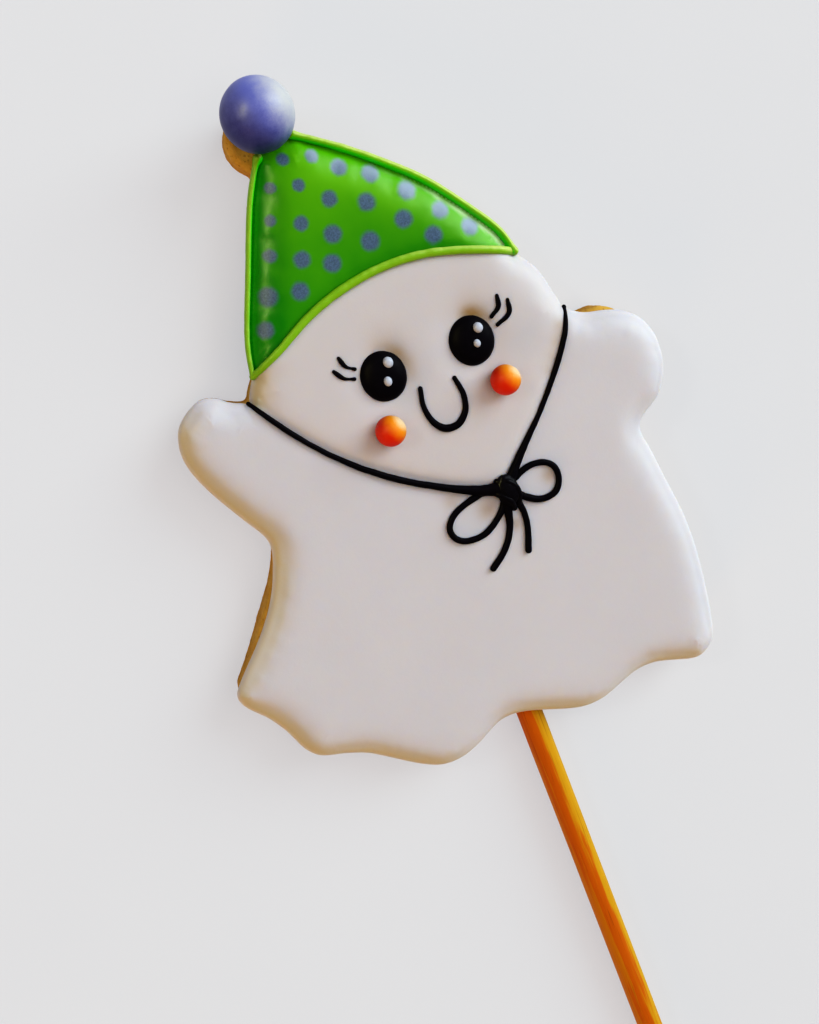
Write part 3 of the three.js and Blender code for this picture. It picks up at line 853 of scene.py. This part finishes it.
def pale_table():
    """The smooth pale surface that the pop lies on, lit a little from below."""
    table = Finish("pale table", {
        "Specular IOR Level": 0.1, "Emission Color": (0.358, 0.368, 0.394, 1.0), "Emission Strength": 1.0
    })
    table.feed("Base Color", table.mix(table.noise(40, 2), colour(130, 130, 130), colour(133, 133, 133)))
    table.feed("Roughness", 0.85 + 0.1 * table.noise(1.0, 2))
    return table.material


FINISHES = {
    "baked_cookie": baked_cookie(),
    "white_icing": white_icing(),
    "green_icing": hat_icing(),
    "lime_icing": lime_icing(),
    "black_icing": black_icing(),
    "white_dots": white_dots(),
    "purple_sugar_ball": purple_sugar_ball(),
    "orange_sugar_ball": orange_sugar_ball(),
    "stick_wood": stick_wood(),
}

# ---------- cookie and stick

WALL_STEPS = 9
EDGE_TURNS = 6
FLAT_SPACING = 1.3  # between the points of the cookie's flat faces
FLAT_MARGIN = 0.6  # how far in from the rim of a flat face they start
BACK_TOAST = 0.35  # how much browner the back is baked
RIM_TOAST, TOAST_REACH = 0.45, 5.0  # how much browner the flat faces are at their rims, and how far in


def wall_levels():
    """Heights up the cookie's side, and how far the rounding sets each one in."""
    turns = np.linspace(math.pi / 2, 0, EDGE_TURNS)
    low = [(COOKIE_EDGE * (1 - math.sin(t)), COOKIE_EDGE * (1 - math.cos(t))) for t in turns]
    straight = [(z, 0.0) for z in np.linspace(COOKIE_EDGE, COOKIE_TOP - COOKIE_EDGE, WALL_STEPS)[1:-1]]
    high = [(COOKIE_TOP - z, inset) for z, inset in low[::-1]]
    return low + straight + high


def cookie_side(rim):
    """Rings of points up the cookie's uneven side, and how toasted their points are."""
    normals = inward(rim)
    rings, toast = [], []
    for z, inset in wall_levels():
        ring = np.column_stack([rim, np.full(len(rim), z)])
        depth = inset + 0.1 + 0.09 * lumps(ring, 1.3, 4) + 0.22 * pits(ring, 1.5, seed=2)
        ring[:, :2] += np.maximum(depth, inset)[:, None] * normals
        rings.append(ring)
        toast.append(np.full(len(rim), 0.5 + 0.3 * (1 - z / COOKIE_TOP)))
    return rings, toast


def cookie_flat(ring, first, added_first, upward):
    """A flat face of the cookie inside a ring of its side, with dents and pores: the points that it adds, its
    faces and how toasted the added points are. The ring's points are counted from first."""
    edge = ring[:, :2]
    spread = hexagonal(edge.min(axis=0), edge.max(axis=0), FLAT_SPACING)
    spread = spread[inside(spread, edge)]
    spread = spread[distance_to_loop(spread, edge) > FLAT_MARGIN]
    flat, faces, order = filled(edge, spread)
    place = first + order
    added = np.flatnonzero(order >= len(ring))
    place[added] = added_first + np.arange(len(added))
    points = np.column_stack([flat[added], np.full(len(added), ring[0, 2])])
    dents = 0.05 + 0.05 * lumps(points, 2.0, 3) + 0.25 * pits(points, 2.6, seed=4)
    points[:, 2] -= upward * np.maximum(dents, 0)
    toast = np.exp(-distance_to_loop(flat[added], edge) / TOAST_REACH) * RIM_TOAST
    return points, place[faces].tolist(), toast + (BACK_TOAST if upward < 0 else 0.0)


def bake_cookie():
    base = offset_loop(smooth_loop(outline_of("cookie", 0.0), FINE_SPACING), -COOKIE_EDGE)
    rim = closed_spaced(softened(closed_spaced(base, RIM_SPACING), 3), RIM_SPACING)
    points, toast = cookie_side(rim)
    rows, sides = len(points), len(rim)
    faces = belts(rows, sides)
    total = rows * sides
    for ring, first, upward in ((points[0], 0, -1), (points[rows - 1], total - sides, 1)):
        flat, flat_faces, flat_toast = cookie_flat(ring, first, total, upward)
        points.append(flat)
        faces += flat_faces
        toast.append(flat_toast)
        total += len(flat)
    marks = {"toast": np.concatenate(toast)}
    slot = "baked_cookie"
    add_piece("cookie_dough", np.vstack(points), faces, FINISHES[slot], ["cookie"], marks)


STICK_SIDES = 56
STICK_CHAMFER = 0.4
STICK_SPACING = 0.8


def make_stick():
    low, high = node_box("stick")
    radius = (high[2] - low[2]) / 2
    middle = (high[2] + low[2]) / 2
    between = np.arange(low[1] + 1.2, high[1] - 1, STICK_SPACING)
    ends = [low[1], low[1] + STICK_CHAMFER, high[1] - STICK_CHAMFER, high[1]]
    lengths = np.concatenate([ends[:2], between, ends[2:]])
    halves = np.full(len(lengths), radius)
    halves[[0, -1]] -= STICK_CHAMFER
    angles = np.linspace(0, 2 * math.pi, STICK_SIDES, endpoint=False)
    y, angle = (grid.ravel() for grid in np.meshgrid(lengths, angles, indexing="ij"))
    around = np.column_stack([np.cos(angle) * radius, y * 0.04, np.sin(angle) * radius])
    cut = 0.035 + 0.035 * lumps(around, 0.8, 3, seed=8)
    reach = np.repeat(halves, STICK_SIDES) - cut
    points = np.column_stack([reach * np.cos(angle), y, middle + reach * np.sin(angle)])
    faces = belts(len(lengths), STICK_SIDES) + end_caps(len(lengths), STICK_SIDES)
    add_piece("wooden_stick", points, faces, FINISHES["stick_wood"], ["stick"])


# ---------- flooded icing

NECK_SEAM = np.vstack([curve_through(side, FINE_SPACING) for side in (NECK_LEFT, NECK_RIGHT)])
BRIM_SEAM = curve_through(BRIM, FINE_SPACING)
SEAMS = [NECK_SEAM, BRIM_SEAM]

EYES = {side: middle_of(f"eye_{side}") for side in ("left", "right")}
EYE_HALVES = node_halves("eye_left")

HAT_FULLNESS = 0.3  # how far above its node's top the middle of the hat is flooded
HOLLOW_DEPTH = 0.8
HOLLOW_REACH = (-0.8, 2.6)  # where a hollow ends at the bottom and at the top, counted out from an eye's rim


def seam_dip(points, seam, depth, reach):
    """The icing rounds down that much beside a seam."""
    return -depth * (1 - round_edge(distance_to_line(points, seam), reach))


def body_shape(points):
    return seam_dip(points, NECK_SEAM, 0.35, 2.0)


def head_shape(points):
    rise = seam_dip(points, NECK_SEAM, 1.2, 3.0) + seam_dip(points, BRIM_SEAM, 0.45, 2.4)
    for eye in EYES.values():
        # The icing sinks into a hollow round each eye.
        gap = np.linalg.norm((points - eye[:2]) / EYE_HALVES[:2], axis=1) * EYE_HALVES[0]
        rise -= HOLLOW_DEPTH * (1 - fade(gap, *(EYE_HALVES[0] + end for end in HOLLOW_REACH)))
    return rise


def hat_shape(points):
    return seam_dip(points, BRIM_SEAM, 0.4, 2.2)


def flood_sections():
    white, green = FINISHES["white_icing"], FINISHES["green_icing"]
    flood("icing_body", BODY_TOP - COOKIE_TOP, 4.6, body_shape, white)
    flood("icing_head", HEAD_TOP - COOKIE_TOP, 5.0, head_shape, white)
    flood("icing_hat", HAT_TOP - COOKIE_TOP + HAT_FULLNESS, 6.8, hat_shape, green)


# ---------- piped lines


def pipe(name, knots, lift, slot, seed, halves=None, height=0.9):
    """Pipes a line onto the icing. Its section is that many times as high as it is wide."""
    path, half = piped_path(knots, halves or PIPING[name], lift, seed)
    points, faces = tube(path, half, 16, height)
    add_piece(f"piped_{name}", points, faces, FINISHES[slot], [name])


KNOB_LENGTH = 0.9
HAT_SIDE = 0.45  # how far towards the hat a line's middle takes its full brighter painted green


def pipe_hat_edge(name, knots, knobs, seed):
    """The line round the hat stands on the cookie, as tall as its node and down to the icing's foot. Knobs
    are how much wider it swells where the piping starts and stops."""
    top = node_box(name)[1][2]
    foot = ICING_FOOT + 0.1
    middle = (top + foot) / 2
    flat = curve_through(knots, LINE_SPACING)
    half = piped_halves(flat, PIPING[name], 0.06, seed)
    for end, knob in zip((flat[0], flat[-1]), knobs):
        half = half + knob * np.exp(-((np.linalg.norm(flat - end, axis=1) / KNOB_LENGTH) ** 2))
    points, faces = tube(np.column_stack([flat, np.full(len(flat), middle)]), half, 20)
    points[:, 2] = middle + (points[:, 2] - middle) * (top - foot) / (2 * half.max())
    nearest = flat[((points[:, None, :2] - flat) ** 2).sum(axis=2).argmin(axis=1)]
    towards_hat = middle_of("icing_hat")[:2] - nearest
    towards_hat /= np.linalg.norm(towards_hat, axis=1)[:, None]
    hatward = fade(((points[:, :2] - nearest) * towards_hat).sum(axis=1), 0.0, HAT_SIDE)
    slot = "lime_icing"
    add_piece(f"piped_{name}", points, faces, FINISHES[slot], [name], {"hatward": hatward})


def pipe_lines():
    pipe_hat_edge("hat_line_left", HAT_LEFT, (0, 0.36), 1.0)
    pipe_hat_edge("hat_line_right", HAT_RIGHT, (0.14, 0.16), 2.0)
    pipe("hat_line_brim", BRIM, 0.75, "lime_icing", 3.0)
    pipe("string_left", NECK_LEFT, 0.65, "black_icing", 4.0)
    pipe("string_right", NECK_RIGHT, 0.65, "black_icing", 5.0)
    pipe("smile", SMILE, 0.35, "black_icing", 6.0, height=0.7)
    for seed, (place, knots) in enumerate(LASHES.items()):
        halves = PIPING["lash_left" if "left" in place else "lash_right"]
        pipe(f"lash_{place}", knots, 0.3, "black_icing", 7.0 + seed, halves, 0.7)
    for seed, (place, knots) in enumerate(BOW.items()):
        pipe(f"bow_{place}", knots, 0.5, "black_icing", 11.0 + seed)


# ---------- balls, eyes and the knot


def rounded_grid(rings, sides):
    """Directions over a ball from its top to its bottom, and the faces between them."""
    tilts = np.linspace(0, math.pi, rings + 1)[1:-1]
    turns = np.linspace(0, 2 * math.pi, sides, endpoint=False)
    tilt, turn = (grid.ravel() for grid in np.meshgrid(tilts, turns, indexing="ij"))
    around = np.column_stack([np.sin(tilt) * np.cos(turn), np.sin(tilt) * np.sin(turn), np.cos(tilt)])
    directions = np.vstack([around, [(0, 0, 1), (0, 0, -1)]])
    top, bottom = len(around), len(around) + 1
    faces = belts(rings - 1, sides)
    faces += [(top, i, (i + 1) % sides) for i in range(sides)]
    last = (rings - 2) * sides
    faces += [(bottom, last + (i + 1) % sides, last + i) for i in range(sides)]
    return directions, faces


def sugar_pearl(name, node, slot, foot, unevenness, seed):
    """A sugar ball, flat where it sits in the icing at its foot."""
    low, high = node_box(node)
    radius = (high[0] - low[0]) / 2
    centre = np.array([*middle_of(node)[:2], high[2] - radius])
    directions, faces = rounded_grid(44, 72)
    dents = unevenness * (0.5 + 0.5 * lumps(directions * radius, 0.8 * radius, 2, seed=seed))
    points = centre + directions * (radius - dents)[:, None]
    points[:, 2] = np.maximum(points[:, 2], foot)
    add_piece(name, points, faces, FINISHES[slot], [node])


DROP_FULLNESS = 2.6  # a drop's side is fuller than a ball's, which would be 2
GLINT_SHARE = 0.92  # how much of its node's width a glint fills


def drop(name, share, foot, top, slot, seed):
    """A flat-bottomed drop of icing with a full, rounded side, as wide as that share of its node."""
    directions, faces = rounded_grid(36, 72)
    out = np.linalg.norm(directions[:, :2], axis=1)
    swell = 1 + 0.012 * lumps(directions[:, :2] * 3, 2.0, 2, seed=seed)
    flat = directions[:, :2] * node_halves(name)[:2] * share * swell[:, None]
    dome = foot + (top - foot) * (1 - out**DROP_FULLNESS) ** 0.5
    z = np.where(directions[:, 2] >= 0, dome, foot)
    points = np.column_stack([middle_of(name)[:2] + flat, z])
    add_piece(f"dotted_{name}", points, faces, FINISHES[slot], [name])


def dot_the_eyes():
    for seed, side in enumerate(EYES):
        eye = f"eye_{side}"
        drop(eye, 1.0, HEAD_TOP - 1.0, node_box(eye)[1][2] - 0.15, "black_icing", 20.0 + seed)
        for level in ("upper", "lower"):
            glint = f"glint_{side}_{level}"
            low, high = node_box(glint)
            drop(glint, GLINT_SHARE, low[2] - 0.5, high[2] - 0.1, "white_dots", 30.0 + seed)


WRAP_HALF = 0.62


def tie_knot():
    """A lump of icing with two strands wrapped over it."""
    directions, faces = rounded_grid(36, 56)
    swell = 0.97 + 0.07 * lumps(directions * 2.5, 1.5, 2, seed=40.0)
    lump = middle_of("bow_knot") + directions * node_halves("bow_knot") * swell[:, None]
    lump[:, 2] = np.maximum(lump[:, 2], BODY_TOP - 0.4)
    all_points, all_faces = lump, faces
    for wrap in KNOT_WRAPS:
        path = curve_through(wrap, LINE_SPACING)
        points, faces = tube(path, np.full(len(path), WRAP_HALF), 16)
        all_faces = all_faces + [tuple(len(all_points) + v for v in face) for face in faces]
        all_points = np.vstack([all_points, points])
    slot = "black_icing"
    marks = {"wet": np.ones(len(all_points))}
    add_piece("tied_knot", all_points, all_faces, FINISHES[slot], ["bow_knot"], marks)


# ---------- make the pop

bake_cookie()
make_stick()
flood_sections()
pipe_lines()
dot_the_eyes()
tie_knot()
sugar_pearl("sugar_pompom", "pompom", "purple_sugar_ball", COOKIE_TOP, 0.12, 50.0)
for side in ("left", "right"):
    sugar_pearl(f"cheek_pearl_{side}", f"cheek_{side}", "orange_sugar_ball", HEAD_TOP - 0.6, 0.06, 51.0)

# ---------- table, light and camera

ROLL = math.radians(21.4)  # how far the pop leans, seen from the camera
RIGHTWARD = np.array([math.cos(ROLL), -math.sin(ROLL), 0])
UPWARD = np.array([math.sin(ROLL), math.cos(ROLL), 0])
SKYWARD = np.array([0.0, 0.0, 1.0])

TABLE_HALF = 6.0  # in metres

ROOM_GLOW = (1.0, 0.84, 0.56, 1.0)
GLOW_STRENGTH = 0.143

# Each light's bearing and height in degrees, its distance and size in metres, its power and its colour. A
# bearing is counted from the camera's right towards its top.
LIGHTS = {
    "window": (44, 32, 3.2, 2.4, 70.8, (0.713, 0.836, 0.88)),
    "low window": (28, 14, 3.0, 1.4, 14.0, (0.83, 1.0, 0.84)),
    "lamp": (160, 42, 0.7, 0.12, 0.35, (1.0, 0.97, 0.94)),
    "ceiling": (45, 78, 3.2, 3.6, 43.6, (1.0, 0.885, 0.81)),
    "hearth": (240, 14, 1.5, 0.7, 6.2, (1.0, 0.556, 0.127)),
    "streak": (165, 42, 0.9, 0.7, 3.4, (1.0, 0.95, 0.3)),
}
STREAK_WIDTH = 0.2  # the streak is a narrow ellipse


def lay_table():
    corners = [(x * TABLE_HALF, y * TABLE_HALF, 0) for x, y in ((-1, -1), (1, -1), (1, 1), (-1, 1))]
    mesh = bpy.data.meshes.new("table")
    mesh.from_pydata(corners, [], [(0, 1, 2, 3)])
    mesh.materials.append(pale_table())
    table = bpy.data.objects.new("table", mesh)
    bpy.context.scene.collection.objects.link(table)


def soft_light(name, bearing, height, away, size, power, tint):
    """A soft round panel of light that faces the frame's origin."""
    bearing, height = math.radians(bearing), math.radians(height)
    level = math.cos(bearing) * RIGHTWARD + math.sin(bearing) * UPWARD
    towards = Vector(math.cos(height) * level + math.sin(height) * SKYWARD)
    lamp = bpy.data.lights.new(name, "AREA")
    lamp.shape = "DISK"
    lamp.size = size
    lamp.energy = power
    lamp.color = tint
    light = bpy.data.objects.new(name, lamp)
    light.location = towards * away
    light.rotation_euler = towards.to_track_quat("Z", "Y").to_euler()
    bpy.context.scene.collection.objects.link(light)
    return light


def light_the_room():
    """The room's glow and its lights. Two of them leave no gloss, and the streak is gloss alone."""
    world = bpy.data.worlds.new("room")
    world.use_nodes = True
    background = world.node_tree.nodes["Background"]
    background.inputs["Color"].default_value = ROOM_GLOW
    background.inputs["Strength"].default_value = GLOW_STRENGTH
    bpy.context.scene.world = world
    lights = {name: soft_light(name, *setting) for name, setting in LIGHTS.items()}
    for name in ("ceiling", "hearth"):
        lights[name].visible_glossy = False
    streak = lights["streak"]
    streak.visible_diffuse = False
    streak.data.shape = "ELLIPSE"
    streak.data.size_y = STREAK_WIDTH
    looks = bpy.context.scene.view_settings
    looks.view_transform = "Standard"
    looks.look = "High Contrast"


YAW = math.radians(12)  # how far the camera stands to the left of straight above
PITCH = math.radians(9.5)  # and how far towards the hat's end
AIM = np.array([-8.47, 0.0, 11.0]) * MM
DISTANCE = 0.222  # in metres
LENS = 43.6


def place_camera():
    back = math.cos(YAW) * SKYWARD - math.sin(YAW) * RIGHTWARD
    right = math.cos(YAW) * RIGHTWARD + math.sin(YAW) * SKYWARD
    up = math.cos(PITCH) * UPWARD - math.sin(PITCH) * back
    back = math.cos(PITCH) * back + math.sin(PITCH) * UPWARD
    lens = bpy.data.cameras.new("camera")
    lens.lens = LENS
    lens.sensor_width = 36
    lens.clip_start = 0.01
    camera = bpy.data.objects.new("camera", lens)
    camera.matrix_world = Matrix([
        (right[i], up[i], back[i], (AIM + DISTANCE * back)[i]) for i in range(3)
    ] + [(0, 0, 0, 1)])
    bpy.context.scene.collection.objects.link(camera)
    bpy.context.scene.camera = camera


lay_table()
light_the_room()
place_camera()
